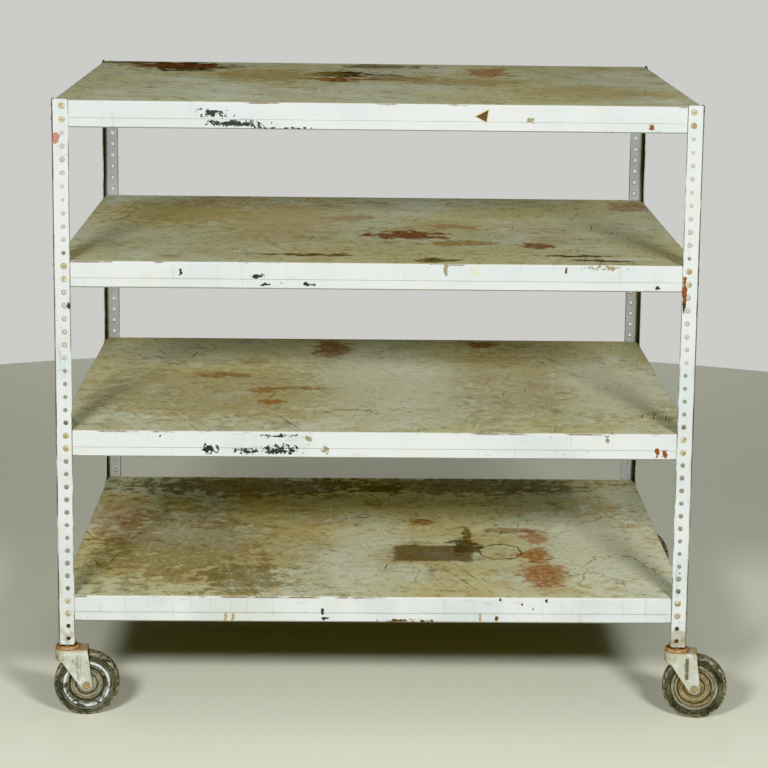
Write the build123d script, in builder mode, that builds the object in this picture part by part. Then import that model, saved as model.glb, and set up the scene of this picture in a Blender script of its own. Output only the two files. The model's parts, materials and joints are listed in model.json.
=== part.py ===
"""Four-shelf steel cart on swivel casters: perforated angle posts, folded shelf pans, pressed forks.

Millimetres, +Z up, floor at Z = 0, front of the cart towards -Y. The origin is on the floor in the
middle of the whole footprint. All four casters trail towards +X, so the frame's own middle lies a
little to the left of the origin, at X = frame_x.
"""

import os
from math import cos, radians, sin, sqrt

from build123d import *

os.makedirs("parts", exist_ok=True)

# Frame, over the outer faces of the posts
frame_width = 1229.0
frame_depth = 914.0
frame_x = -36.15
half_width = frame_width / 2
half_depth = frame_depth / 2

# Angle posts
post_length = 1066.8
post_bottom = 145.0
flange = 31.75
gauge = 2.0
post_outer_bend = 3.5
post_inner_bend = 1.5
flange_corner_radius = 6.0
hole_pitch = 25.4
hole_count = 42
hole_radius = 4.0
hole_inset = 19.5
post_top = post_bottom + post_length
top_hole = post_top - hole_pitch / 2
earth_hole_radius = 2.25
earth_hole_index = 35.55
earth_hole_shift = 2.0

# Shelves: the post hole, counted down from the top, that each shelf's upper bolts use
shelf_holes = {"top_shelf": 0, "second_shelf": 12, "third_shelf": 25, "bottom_shelf": 38}
shelf_rise = 10.4
sheet = 1.5
pan_width = frame_width - 2 * gauge
pan_depth = frame_depth - 2 * gauge
pan_bend = 3.0
lip_height = 50.8
lip_return = 14.0
corner_notch = 9.0
band_height = 17.6
band_thickness = 1.5
band_gap = 10.0
band_corner = 3.0
band_length = frame_width - 2 * (flange + band_gap)
channel_depth = 22.0
channel_width = 43.0
channel_foot = 14.0
channel_gap = 6.0
channel_length = pan_width - 2 * (lip_return + channel_gap)

# Shelf bolts and nuts
bolt_radius = 3.7
bolt_head_radius = 6.25
bolt_head_height = 3.2
bolt_head_edge = 0.5
bolt_slot_width = 1.2
bolt_slot_depth = 1.3
bolt_length = 10.0
nut_flats = 12.7
nut_thickness = 5.0
nut_bore = 3.75
slot_turn = 37

# Casters: heights are above the floor, and each caster's own frame has its swivel axis on Z
wheel_radius = 63.5
axle_height = wheel_radius
trail = 36.5
swivel_inset = 15.9
cap_top = 135.0
fork_half = 24.5
fork_sheet = 2.5
fork_bend = 4.0
fork_back = 39.0
leg_front = -10.0
leg_foot = 110.0
boss_radius = 11.5
rib_length = 44.0
rib_width = 7.0
rib_height = 1.0
rib_edge = 0.8
rib_x = 22.0
rib_z = 104.0
nose_hole_radius = 2.0
nose_hole_angle = 204.0
nose_hole_z = 118.0
nose_lift = 6.0
nose_cut = 5.0
nose_cut_lift = 2.0
nose_cut_reach = 4.0

ball_radius = 2.25
ball_count = 20
ball_ring = 19.3
ball_z = cap_top + ball_radius + 0.02
race_sheet = 1.5
race_groove = 2.6
race_floor = 137.0
race_foot = 135.8
race_bore = 5.1

pin_radius = 5.0
pin_hole = 5.05
pin_head_radius = 8.5
pin_head_top = 132.0
pin_head_bottom = 128.9
pin_head_edge = 1.86
collar_radius = 7.5
stem_radius = 5.5
stem_top = 184.0
stem_chamfer = 1.0
socket_radius = 11.1
socket_bore = 5.6
socket_top = 188.0
foot_half = 13.9
foot_thickness = 3.0
foot_corner = 3.0

axle_radius = 4.0
axle_hole = 4.2
axle_head = 5.3
axle_nut = 6.5
axle_end = 2.0
axle_chamfer = 0.8
hub_bore = 4.05
hub_half = 21.8

# Each caster: its corner as signs of X and Y, and the direction in which it trails, from +X
casters = {
    "front_left": (-1, -1, 4.0),
    "front_right": (1, -1, -8.0),
    "rear_left": (-1, 1, 8.0),
    "rear_right": (1, 1, -4.0),
}


def export(piece, name):
    """Label a finished sub-part and write it as its own STEP file."""
    piece.part.label = name
    export_step(piece.part, f"parts/{name}.step")


def place(template, name, places):
    """Put copies of a template where it belongs in the cart and write them as one sub-part."""
    with BuildPart() as placed:
        with Locations(*places):
            add(template.part)
    export(placed, name)


def hole_z(index):
    """Height of a post hole, counted down from the top."""
    return top_hole - index * hole_pitch


def shelf_top(name):
    return hole_z(shelf_holes[name]) + shelf_rise


# Posts: angle section with a bend at the outer corner and round holes down both flanges
for corner, (side_x, side_y, _) in casters.items():
    corner_x = frame_x + side_x * half_width
    corner_y = side_y * half_depth
    section = [(0, 0), (flange, 0), (flange, gauge), (gauge, gauge), (gauge, flange), (0, flange)]
    middle = (post_top + post_bottom) / 2
    column = (hole_z(0) + hole_z(hole_count - 1)) / 2
    with BuildPart() as post:
        with BuildSketch(Plane.XY.offset(post_bottom)):
            Polygon(*[(corner_x - side_x * x, corner_y - side_y * y) for x, y in section], align=None)
        extrude(amount=post_length)
        uprights = post.edges().filter_by(Axis.Z).sort_by_distance((corner_x, corner_y, middle))
        fillet(uprights[0], post_outer_bend)
        inner = (corner_x - side_x * gauge, corner_y - side_y * gauge, middle)
        uprights = post.edges().filter_by(Axis.Z).sort_by_distance(inner)
        fillet(uprights[0], post_inner_bend)
        free_x = post.edges().filter_by(Axis.Y).group_by(Axis.X)[-1 if side_x < 0 else 0]
        free_y = post.edges().filter_by(Axis.X).group_by(Axis.Y)[-1 if side_y < 0 else 0]
        fillet(free_x + free_y, flange_corner_radius)
        with BuildSketch(Plane.XZ.offset(-corner_y)):
            with Locations((corner_x - side_x * hole_inset, column)):
                with GridLocations(hole_pitch, hole_pitch, 1, hole_count):
                    Circle(hole_radius)
        extrude(amount=2 * gauge, both=True, mode=Mode.SUBTRACT)
        with BuildSketch(Plane.YZ.offset(corner_x)):
            with Locations((corner_y - side_y * hole_inset, column)):
                with GridLocations(hole_pitch, hole_pitch, 1, hole_count):
                    Circle(hole_radius)
        extrude(amount=2 * gauge, both=True, mode=Mode.SUBTRACT)
        if corner == "front_right":
            with BuildSketch(Plane.XZ.offset(-corner_y)):
                with Locations((corner_x - hole_inset + earth_hole_shift, hole_z(earth_hole_index))):
                    Circle(earth_hole_radius)
            extrude(amount=2 * gauge, both=True, mode=Mode.SUBTRACT)
    export(post, f"{corner}_post")

# Shelf bolt, head up along +Z with its seat at Z = 0
with BuildPart() as shelf_bolt:
    with BuildSketch(Plane.XZ):
        with BuildLine():
            Polyline((0, bolt_head_height), (0, 0), (bolt_head_radius, 0))
            Line((bolt_head_radius, 0), (bolt_head_radius, bolt_head_edge))
            TangentArc((0, bolt_head_height), (bolt_head_radius, bolt_head_edge), tangent=(1, 0))
        make_face()
    revolve(axis=Axis.Z)
    with BuildSketch(Plane.XY.offset(bolt_head_height)):
        Rectangle(3 * bolt_head_radius, bolt_slot_width)
    extrude(amount=-bolt_slot_depth, mode=Mode.SUBTRACT)
    with BuildSketch():
        Circle(bolt_radius)
    extrude(amount=-bolt_length)

# Shelf nut, below the two sheets that it clamps
with BuildPart() as shelf_nut:
    with BuildSketch(Plane.XY.offset(-(gauge + sheet))):
        RegularPolygon(nut_flats / 2, 6, major_radius=False)
        Circle(nut_bore, mode=Mode.SUBTRACT)
    extrude(amount=-nut_thickness)


def bolt_places(name):
    """Where a shelf's bolts go: two on each flange of each post, their slots left at any angle."""
    places = []
    for side_x in (-1, 1):
        for side_y in (-1, 1):
            for index in (shelf_holes[name], shelf_holes[name] + 1):
                on_x = frame_x + side_x * (half_width - hole_inset)
                on_y = side_y * (half_depth - hole_inset)
                faces = [
                    Plane(origin=(on_x, side_y * half_depth, hole_z(index)), z_dir=(0, side_y, 0)),
                    Plane(origin=(frame_x + side_x * half_width, on_y, hole_z(index)), z_dir=(side_x, 0, 0)),
                ]
                for face in faces:
                    turn = slot_turn * (len(places) + shelf_holes[name])
                    places.append(face.location * Location((0, 0, 0), (0, 0, turn)))
    return places


# Shelves: folded pan, two proud bands on its long lips, a channel below, bolts and nuts
for shelf in shelf_holes:
    top = shelf_top(shelf)
    lip_foot = top - lip_height
    bolts_z = (hole_z(shelf_holes[shelf]) + hole_z(shelf_holes[shelf] + 1)) / 2
    with BuildPart() as pan:
        with BuildSketch(Plane.XY.offset(lip_foot)):
            with Locations((frame_x, 0)):
                Rectangle(pan_width, pan_depth)
        extrude(amount=lip_height)
        fillet(pan.faces().sort_by(Axis.Z)[-1].edges(), pan_bend)
        offset(amount=-sheet, openings=pan.faces().sort_by(Axis.Z)[0])
        with BuildSketch(Plane.XY.offset(lip_foot)):
            with Locations((frame_x, 0)):
                Rectangle(pan_width, pan_depth)
                Rectangle(pan_width - 2 * lip_return, pan_depth - 2 * lip_return, mode=Mode.SUBTRACT)
        extrude(amount=sheet)
        with BuildSketch(Plane.XY.offset(lip_foot)):
            with Locations((frame_x, 0)):
                with GridLocations(pan_width, pan_depth, 2, 2):
                    Rectangle(2 * corner_notch, 2 * corner_notch)
        extrude(amount=lip_height, mode=Mode.SUBTRACT)
        with BuildSketch(Plane.XZ):
            with Locations((frame_x, bolts_z)):
                with GridLocations(2 * (half_width - hole_inset), hole_pitch, 2, 2):
                    Circle(hole_radius)
        extrude(amount=half_depth, both=True, mode=Mode.SUBTRACT)
        with BuildSketch(Plane.YZ.offset(frame_x)):
            with Locations((0, bolts_z)):
                with GridLocations(2 * (half_depth - hole_inset), hole_pitch, 2, 2):
                    Circle(hole_radius)
        extrude(amount=half_width, both=True, mode=Mode.SUBTRACT)
    export(pan, f"{shelf}_pan")

    with BuildPart() as bands:
        for side in (-1, 1):
            with BuildSketch(Plane.XZ.offset(side * pan_depth / 2)):
                with Locations((frame_x, lip_foot + band_height / 2)):
                    RectangleRounded(band_length, band_height, band_corner)
            extrude(amount=side * band_thickness)
    export(bands, f"{shelf}_lip_bands")

    with BuildPart() as channel:
        with BuildSketch(Plane.YZ.offset(frame_x - channel_length / 2)):
            with Locations((0, top - sheet)):
                Rectangle(channel_width, channel_depth, align=(Align.CENTER, Align.MAX))
                Rectangle(
                    channel_width - 2 * sheet,
                    channel_depth - sheet,
                    align=(Align.CENTER, Align.MAX),
                    mode=Mode.SUBTRACT,
                )
            for side in (-1, 1):
                with Locations((side * (channel_width + channel_foot - sheet) / 2, top - sheet)):
                    Rectangle(channel_foot, sheet, align=(Align.CENTER, Align.MAX))
        extrude(amount=channel_length)
    export(channel, f"{shelf}_channel")

    place(shelf_bolt, f"{shelf}_bolts", bolt_places(shelf))
    place(shelf_nut, f"{shelf}_nuts", bolt_places(shelf))

# Stem socket: a tube on a small plate, welded inside the foot of an angle post
with BuildPart() as stem_socket:
    with BuildSketch(Plane.XY.offset(post_bottom)):
        Rectangle(2 * foot_half, 2 * foot_half)
    extrude(amount=foot_thickness)
    chamfer(stem_socket.edges().filter_by(Axis.Z), foot_corner)
    with BuildSketch(Plane.XY.offset(post_bottom)):
        Circle(socket_radius)
    extrude(amount=socket_top - post_bottom)
    with BuildSketch(Plane.XY.offset(post_bottom)):
        Circle(socket_bore)
    extrude(amount=socket_top - post_bottom, mode=Mode.SUBTRACT)

# Top race: a pressed dish whose rolled rim covers the balls
race_outer = race_groove + race_sheet
race_top = race_floor + race_sheet
race_meet = ball_ring - sqrt(race_outer**2 - (race_top - ball_z) ** 2)
with BuildPart() as top_race:
    with BuildSketch(Plane.XZ):
        with BuildLine():
            Line((race_bore, race_top), (race_meet, race_top))
            ThreePointArc(
                (race_meet, race_top),
                (ball_ring, ball_z + race_outer),
                (ball_ring + race_outer, ball_z),
            )
            Polyline(
                (ball_ring + race_outer, ball_z),
                (ball_ring + race_outer, race_foot),
                (ball_ring + race_groove, race_foot),
                (ball_ring + race_groove, ball_z),
            )
            ThreePointArc(
                (ball_ring + race_groove, ball_z),
                (ball_ring, ball_z + race_groove),
                (ball_ring - race_groove, ball_z),
            )
            Polyline(
                (ball_ring - race_groove, ball_z),
                (ball_ring - race_groove, race_floor),
                (race_bore, race_floor),
                (race_bore, race_top),
            )
        make_face()
    revolve(axis=Axis.Z)

# King pin: stem and collar above the race, headed below the fork's cap
with BuildPart() as king_pin:
    with BuildSketch(Plane.XY.offset(pin_head_bottom)):
        Circle(pin_head_radius)
    extrude(amount=pin_head_top - pin_head_bottom)
    fillet(king_pin.edges().sort_by(Axis.Z)[0], pin_head_edge)
    with BuildSketch(Plane.XY.offset(pin_head_top)):
        Circle(pin_radius)
    extrude(amount=race_top - pin_head_top)
    with BuildSketch(Plane.XY.offset(race_top)):
        Circle(collar_radius)
    extrude(amount=post_bottom - race_top)
    with BuildSketch(Plane.XY.offset(post_bottom)):
        Circle(stem_radius)
    extrude(amount=stem_top - post_bottom)
    chamfer(king_pin.edges().sort_by(Axis.Z)[-1], stem_chamfer)

# Bearing balls between the race and the fork's cap
with BuildPart() as bearing_balls:
    with Locations((0, 0, ball_z)):
        with PolarLocations(ball_ring, ball_count):
            Sphere(ball_radius)

# Fork: one pressed sheet with a round nose at the front and a leg down each side of the wheel
fork_foot = axle_height - boss_radius
fork_reach = trail + boss_radius
with BuildPart() as fork_hollow:
    with BuildSketch(Plane.XY.offset(fork_foot - 1)):
        Circle(fork_half - fork_sheet)
        Rectangle(2 * fork_reach, 2 * (fork_half - fork_sheet), align=(Align.MIN, Align.CENTER))
    extrude(amount=cap_top - fork_sheet - fork_foot + 1)
    roof = fork_hollow.faces().sort_by(Axis.Z)[-1]
    fillet(roof.edges().sort_by(Axis.X)[:-1], fork_bend - fork_sheet)
with BuildPart() as fork:
    with BuildSketch(Plane.XY.offset(fork_foot)):
        Circle(fork_half)
        Rectangle(fork_reach, 2 * fork_half, align=(Align.MIN, Align.CENTER))
    extrude(amount=cap_top - fork_foot)
    roof = fork.faces().sort_by(Axis.Z)[-1]
    fillet(roof.edges().sort_by(Axis.X)[:-1], fork_bend)
    add(fork_hollow.part, mode=Mode.SUBTRACT)
    with BuildSketch(Plane.XZ):
        with Locations((trail, axle_height)):
            Circle(boss_radius)
        Polygon((leg_front, leg_foot), (leg_front, cap_top), (fork_back, cap_top), align=None)
        make_hull()
        Polygon(
            (leg_front, leg_foot),
            (leg_front, cap_top),
            (-fork_half, cap_top),
            (-fork_half, leg_foot + nose_lift),
            (-fork_half + nose_cut, leg_foot + nose_cut_lift),
            (leg_front - nose_cut_reach, leg_foot),
            align=None,
        )
    extrude(amount=2 * fork_half, both=True, mode=Mode.INTERSECT)
    with BuildSketch(Plane.XY.offset(cap_top)):
        Circle(pin_hole)
    extrude(amount=-2 * fork_sheet, mode=Mode.SUBTRACT)
    with BuildSketch(Plane.XZ):
        with Locations((trail, axle_height)):
            Circle(axle_hole)
    extrude(amount=2 * fork_half, both=True, mode=Mode.SUBTRACT)
    nose_way = (cos(radians(nose_hole_angle)), sin(radians(nose_hole_angle)), 0)
    with BuildSketch(Plane(origin=(0, 0, nose_hole_z), z_dir=nose_way)):
        Circle(nose_hole_radius)
    extrude(amount=2 * fork_half, mode=Mode.SUBTRACT)
    for side in (-1, 1):
        with BuildSketch(Plane.XZ.offset(side * fork_half)):
            with Locations((rib_x, rib_z)):
                SlotOverall(rib_length, rib_width, rotation=90)
        extrude(amount=side * rib_height)
    rib_faces = [fork.faces().sort_by(Axis.Y)[0], fork.faces().sort_by(Axis.Y)[-1]]
    fillet([edge for face in rib_faces for edge in face.edges()], rib_edge)

# Axle bolt and nut, in the wheel's own frame: the axle lies on Y and the nut is at -Y
nut_seat = Plane.XZ.offset(fork_half)
with BuildPart() as axle_bolt:
    with BuildSketch(Plane.XZ.offset(-fork_half)):
        RegularPolygon(nut_flats / 2, 6, major_radius=False)
    extrude(amount=-axle_head)
    with BuildSketch(Plane.XZ.offset(-fork_half)):
        Circle(axle_radius)
    extrude(amount=2 * fork_half + axle_nut + axle_end)
    chamfer(axle_bolt.edges().sort_by(Axis.Y)[0], axle_chamfer)
with BuildPart() as axle_nut_piece:
    with BuildSketch(nut_seat):
        RegularPolygon(nut_flats / 2, 6, major_radius=False)
        Circle(hub_bore, mode=Mode.SUBTRACT)
    extrude(amount=axle_nut)

# Wheel core: a dished web round a long hub, turned about Y. Each side is (half width, radius)
core_side = [
    (hub_half, hub_bore),
    (hub_half, 10.5),
    (20.8, 11.5),
    (15.0, 11.5),
    (11.5, 19.0),
    (12.6, 19.6),
    (12.6, 21.6),
    (10.5, 22.4),
    (10.5, 31.5),
    (12.5, 32.6),
    (12.5, 33.9),
]
core_other_side = [(-half, radius) for half, radius in reversed(core_side)]
with BuildPart() as wheel_core:
    with BuildSketch(Plane.YZ):
        Polygon(*core_side, *core_other_side, align=None)
    revolve(axis=Axis.Y)

# Tyre: solid rubber with a moulded ring on each side wall and rounded shoulders
tyre_side = [(12.5, 34.0), (13.4, 35.0), (13.4, 40.4), (15.9, 41.6), (15.9, 45.0), (14.6, 46.4)]
wall_middle = (15.8, 51.5)
shoulder = (15.8, 57.5)
shoulder_middle = (13.9, 61.8)
tread_edge = (9.0, 63.2)
tyre_other_side = [(-half, radius) for half, radius in reversed(tyre_side)]


def mirrored(point):
    """The same point on the wheel's other side."""
    return (-point[0], point[1])


with BuildPart() as tyre:
    with BuildSketch(Plane.YZ):
        with BuildLine():
            Polyline(*tyre_side)
            ThreePointArc(tyre_side[-1], wall_middle, shoulder)
            ThreePointArc(shoulder, shoulder_middle, tread_edge)
            ThreePointArc(tread_edge, (0, wheel_radius), mirrored(tread_edge))
            ThreePointArc(mirrored(tread_edge), mirrored(shoulder_middle), mirrored(shoulder))
            ThreePointArc(mirrored(shoulder), mirrored(wall_middle), mirrored(tyre_side[-1]))
            Polyline(*tyre_other_side, tyre_side[0])
        make_face()
    revolve(axis=Axis.Y)

for corner, (side_x, side_y, angle) in casters.items():
    swivel_x = frame_x + side_x * (half_width - swivel_inset)
    swivel_y = side_y * (half_depth - swivel_inset)
    fixed = Location((swivel_x, swivel_y, 0))
    turned = Location((swivel_x, swivel_y, 0), (0, 0, angle))
    axle = turned * Location((trail, 0, axle_height), (0, 0, 90 + 90 * side_y))
    place(stem_socket, f"{corner}_stem_socket", [fixed])
    place(top_race, f"{corner}_top_race", [fixed])
    place(king_pin, f"{corner}_king_pin", [fixed])
    place(bearing_balls, f"{corner}_bearing_balls", [turned])
    place(fork, f"{corner}_fork", [turned])
    place(axle_bolt, f"{corner}_axle_bolt", [axle])
    place(axle_nut_piece, f"{corner}_axle_nut", [axle])
    place(wheel_core, f"{corner}_wheel_core", [axle])
    place(tyre, f"{corner}_tyre", [axle])
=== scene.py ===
"""The looks of a worn four-shelf steel cart: old off-white paint, stained tops, dusty rubber wheels.

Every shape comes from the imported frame, and every material is procedural. Distances are in metres and
colours are given as 0 to 255 sRGB values.
"""

import json
from math import hypot, radians

import bmesh
import bpy
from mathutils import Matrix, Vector


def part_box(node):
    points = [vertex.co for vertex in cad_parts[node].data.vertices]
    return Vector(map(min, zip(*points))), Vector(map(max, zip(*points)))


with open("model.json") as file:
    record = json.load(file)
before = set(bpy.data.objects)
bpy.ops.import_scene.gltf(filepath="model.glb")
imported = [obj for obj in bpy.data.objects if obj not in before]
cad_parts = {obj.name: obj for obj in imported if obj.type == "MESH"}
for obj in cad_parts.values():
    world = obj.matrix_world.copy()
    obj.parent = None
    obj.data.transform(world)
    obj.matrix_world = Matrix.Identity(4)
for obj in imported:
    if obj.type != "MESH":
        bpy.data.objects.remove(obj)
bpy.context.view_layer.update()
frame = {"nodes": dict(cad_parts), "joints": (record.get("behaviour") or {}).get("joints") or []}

MM = 0.001


def colour(red, green, blue):
    """A scene colour from 0 to 255 sRGB values."""
    linear = []
    for part in (red / 255, green / 255, blue / 255):
        linear.append(part / 12.92 if part <= 0.04045 else ((part + 0.055) / 1.055) ** 2.4)
    return (*linear, 1.0)


# Palette
WHITE_PAINT = colour(204, 208, 206)
COOL_PAINT = colour(190, 197, 196)
YELLOWED_PAINT = colour(194, 190, 168)
GRIME = colour(140, 132, 106)
SLATE = colour(54, 60, 56)
BARE_EDGE = colour(96, 92, 68)
BROWN_STEEL = colour(92, 70, 42)
DARK_BROWN = colour(50, 40, 24)
RUST = colour(126, 78, 46)
RUST_ORANGE = colour(160, 112, 72)
PEACH = colour(176, 148, 108)
TAN = colour(162, 144, 104)
CREAM = colour(190, 182, 154)
RED_MARK = colour(164, 88, 70)
SHELF_GREEN = colour(226, 230, 194)
SHELF_KHAKI = colour(226, 218, 160)
SHELF_TAN = colour(212, 190, 134)
SHELF_DARK = colour(132, 120, 82)
SHELF_PALE = colour(244, 248, 220)
STAIN_BLACK = colour(58, 40, 22)
STAIN_BROWN = colour(106, 84, 54)
STAIN_RED = colour(136, 72, 46)
STAIN_ORANGE = colour(180, 114, 66)
STAIN_TAN = colour(186, 160, 102)
RUBBER = colour(52, 54, 44)
RUBBER_DUST = colour(122, 121, 98)
HUB_GREY = colour(156, 158, 142)
HUB_DUST = colour(160, 146, 110)
HUB_DARK = colour(72, 66, 48)
FORK_PAINT = colour(178, 181, 162)
RUBBER_BLACK = colour(30, 31, 26)
STEEL = colour(140, 136, 126)
INNER_STEEL = colour(96, 88, 58)
FLOOR = colour(248, 250, 230)

# Sizes read from the frame
post_low, post_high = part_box("front_left_post")
far_low, far_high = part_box("rear_right_post")
MIDDLE_X = (post_low.x + far_high.x) / 2
HALF_WIDTH = (far_high.x - post_low.x) / 2
HALF_DEPTH = (far_high.y - post_low.y) / 2
FLANGE = post_high.x - post_low.x
POST_TOP = post_high.z
POST_BOTTOM = post_low.z
SHELVES = ("top_shelf", "second_shelf", "third_shelf", "bottom_shelf")
CORNERS = ("front_left", "front_right", "rear_left", "rear_right")
SHELF_TOP = {shelf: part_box(f"{shelf}_pan")[1].z for shelf in SHELVES}
LIP_FOOT = {shelf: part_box(f"{shelf}_pan")[0].z for shelf in SHELVES}
JOINTS = {joint["name"]: joint for joint in frame["joints"]}
SWIVEL_POINTS = {corner: Vector(JOINTS[f"{corner}_caster_swivel"]["pos_m"]) for corner in CORNERS}
AXLE_POINTS = {corner: Vector(JOINTS[f"{corner}_wheel_roll"]["pos_m"]) for corner in CORNERS}

# Sizes of the CAD model that the frame doesn't give
HOLE_PITCH = 25.4 * MM
HOLE_RADIUS = 4.0 * MM
HOLE_INSET = 19.5 * MM  # from a post's outer face to the middle of its row of holes
BAND_HEIGHT = 17.6 * MM  # from a lip's foot to the upper edge of its band
LIP_DEPTH = 3.6 * MM  # shelf faces further in than this from the posts' outer faces are inner ones
# The fork's pressed rib: its distance behind the swivel, half its width, and its ends above the floor
RIB_ALONG = 22 * MM
RIB_HALF = 3.5 * MM
RIB_LOW = 82 * MM
RIB_HIGH = 126 * MM
# Radii on a wheel, from and to: the tyre's inner side, its painted part, its ridge and its groove
TYRE_INNER_SIDE = (33 * MM, 46 * MM)
TYRE_PAINTED = (36 * MM, 50 * MM)
TYRE_RIDGE = (40.5 * MM, 46.0 * MM)
TYRE_GROOVE = (46.6 * MM, 48.4 * MM)
# Radii where the tread begins and is full, where the core's dust ends and is full, and of its grooves
TREAD = (57 * MM, 61 * MM)
CORE_DUST = (35 * MM, 25 * MM)
CORE_GROOVES = (20.6 * MM, 33.4 * MM)

# The studio
FLOOR_RADIUS = 3.1
LAMP_AIM = Vector((0, 0, 0.6))
# Soft lamps: name, place, width and height, watts, and whether surfaces reflect it
LAMPS = [
    ("left_softbox", (-1.27, -3.80, 2.14), (0.7, 0.5), 100, True),
    ("right_softbox", (1.36, -3.80, 2.14), (0.7, 0.5), 98, True),
    ("back_fill", (0.0, 4.8, 3.3), (3.0, 1.5), 62, False),
]
FILL_STRENGTH = 0.10
BACKDROP_STRENGTH = 0.64
STUDIO_WHITE = (1.0, 1.0, 0.97, 1.0)  # of the fill and the backdrop
CAMERA_PLACE = (-0.0790, -4.8537, 1.6426)
CAMERA_TURN = (79.838, -0.766, -1.434)  # degrees about X, Y and Z
CAMERA_LENS = 109.87  # millimetres, for a sensor 36 mm wide
CAMERA_SHIFT = (-0.0443, -0.1224)


class Graph:
    """A material's node tree. Its functions add nodes and return their output sockets."""

    def __init__(self, name):
        self.material = bpy.data.materials.new(name)
        self.material.use_nodes = True
        self.tree = self.material.node_tree
        self.tree.nodes.clear()
        self.shader = self.node("ShaderNodeBsdfPrincipled")
        output = self.node("ShaderNodeOutputMaterial")
        self.tree.links.new(self.shader.outputs["BSDF"], output.inputs["Surface"])
        coordinates = self.node("ShaderNodeTexCoord")
        self.place = coordinates.outputs["Object"]
        self.x, self.y, self.z = self.split(self.place)
        self.normal_x, self.normal_y, self.normal_z = self.split(coordinates.outputs["Normal"])
        self.grains = {}

    def node(self, kind, **settings):
        """Add a node with the given settings."""
        made = self.tree.nodes.new(kind)
        for key, value in settings.items():
            setattr(made, key, value)
        return made

    def fill(self, entry, value):
        """Link a socket, or set a plain value."""
        if isinstance(value, bpy.types.NodeSocket):
            self.tree.links.new(value, entry)
        else:
            entry.default_value = value

    def split(self, vector):
        """The three parts of a vector or colour."""
        made = self.node("ShaderNodeSeparateXYZ")
        self.fill(made.inputs[0], vector)
        return made.outputs[0], made.outputs[1], made.outputs[2]

    def math(self, operation, *values):
        """One sum of sockets or plain values."""
        made = self.node("ShaderNodeMath", operation=operation)
        for entry, value in zip(made.inputs, values):
            self.fill(entry, value)
        return made.outputs[0]

    def vector(self, operation, first, second=None, scale=None):
        """One vector sum, which gives a vector, or a number for a length or a dot product."""
        made = self.node("ShaderNodeVectorMath", operation=operation)
        self.fill(made.inputs[0], first)
        if second is not None:
            self.fill(made.inputs[1], second)
        if scale is not None:
            self.fill(made.inputs["Scale"], scale)
        gives_number = operation in ("LENGTH", "DOT_PRODUCT")
        return made.outputs["Value" if gives_number else "Vector"]

    def rise(self, value, low, high):
        """0 to 1 as the value goes from low to high, smoothly. With low above high it falls instead."""
        made = self.node("ShaderNodeMapRange", interpolation_type="SMOOTHSTEP")
        self.fill(made.inputs["Value"], value)
        made.inputs["From Min"].default_value = min(low, high)
        made.inputs["From Max"].default_value = max(low, high)
        made.inputs["To Min"].default_value = 0.0 if low < high else 1.0
        made.inputs["To Max"].default_value = 1.0 if low < high else 0.0
        return made.outputs["Result"]

    def within(self, value, low, high, soft):
        """1 between low and high."""
        past_low = self.rise(value, low - soft, low + soft)
        short_of_high = self.rise(value, high + soft, high - soft)
        return self.both(past_low, short_of_high)

    def both(self, *masks):
        """Where all the masks are 1. A plain number among them is a strength."""
        made = masks[0]
        for mask in masks[1:]:
            made = self.math("MULTIPLY", made, mask)
        return made

    def either(self, *masks):
        """Where any of the masks is 1."""
        made = masks[0]
        for mask in masks[1:]:
            made = self.math("MAXIMUM", made, mask)
        return made

    def without(self, mask):
        """Where the mask is 0."""
        return self.math("SUBTRACT", 1.0, mask)

    def noise(self, size, detail=4.0, rough=0.55, stretch=(1, 1, 1), twist=0.0, turn=0.0, seed=0.0):
        """Noise with features about as large as size. stretch lengthens them along each axis."""
        place = self.place
        if turn:
            turned = self.node("ShaderNodeVectorRotate", rotation_type="Z_AXIS")
            self.fill(turned.inputs["Vector"], place)
            turned.inputs["Angle"].default_value = radians(turn)
            place = turned.outputs["Vector"]
        if stretch != (1, 1, 1):
            place = self.vector("DIVIDE", place, stretch)
        if seed:
            place = self.vector("ADD", place, (seed, seed * 0.7, seed * 0.3))
        made = self.node("ShaderNodeTexNoise")
        self.fill(made.inputs["Vector"], place)
        made.inputs["Scale"].default_value = 1 / size
        made.inputs["Detail"].default_value = detail
        made.inputs["Roughness"].default_value = rough
        made.inputs["Distortion"].default_value = twist
        return made.outputs["Fac"]

    def spot(self, centre, reach, grain=0.02, ragged=1.0, soft=0.12):
        """A patch round a centre, with its reach along each axis. ragged breaks its outline up."""
        offset = self.vector("SUBTRACT", self.place, centre)
        distance = self.vector("LENGTH", self.vector("DIVIDE", offset, reach))
        if grain not in self.grains:
            self.grains[grain] = self.noise(grain, 7, 0.62, seed=100 * grain)
        broken = self.math("MULTIPLY", self.math("SUBTRACT", self.grains[grain], 0.5), 4 * ragged)
        return self.rise(self.math("SUBTRACT", broken, distance), -1 - soft, -1 + soft)

    def block(self, centre, half, fray=7 * MM):
        """A patch in X and Y with four straight sides, a little frayed."""
        uneven = self.math("SUBTRACT", self.noise(0.010, 6, 0.7, seed=1.5), 0.5)
        wander = self.math("MULTIPLY", uneven, 4 * fray)
        sides = []
        for along, middle, reach in zip((self.x, self.y), centre, half):
            distance = self.math("ABSOLUTE", self.math("SUBTRACT", along, middle))
            sides.append(self.rise(self.math("ADD", distance, wander), reach + fray, reach - fray))
        return self.both(*sides)

    def ring(self, centre, radii, grain=0.03, ragged=0.7, width=0.05):
        """A thin uneven outline round a centre."""
        offset = self.vector("SUBTRACT", self.place, centre)
        distance = self.vector("LENGTH", self.vector("DIVIDE", offset, radii))
        uneven = self.math("SUBTRACT", self.noise(grain, 4, 0.5, seed=2.0), 0.5)
        wander = self.math("MULTIPLY", uneven, ragged)
        off_line = self.math("ABSOLUTE", self.math("SUBTRACT", self.math("ADD", distance, wander), 1.0))
        return self.rise(off_line, width, 0.3 * width)

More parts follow.
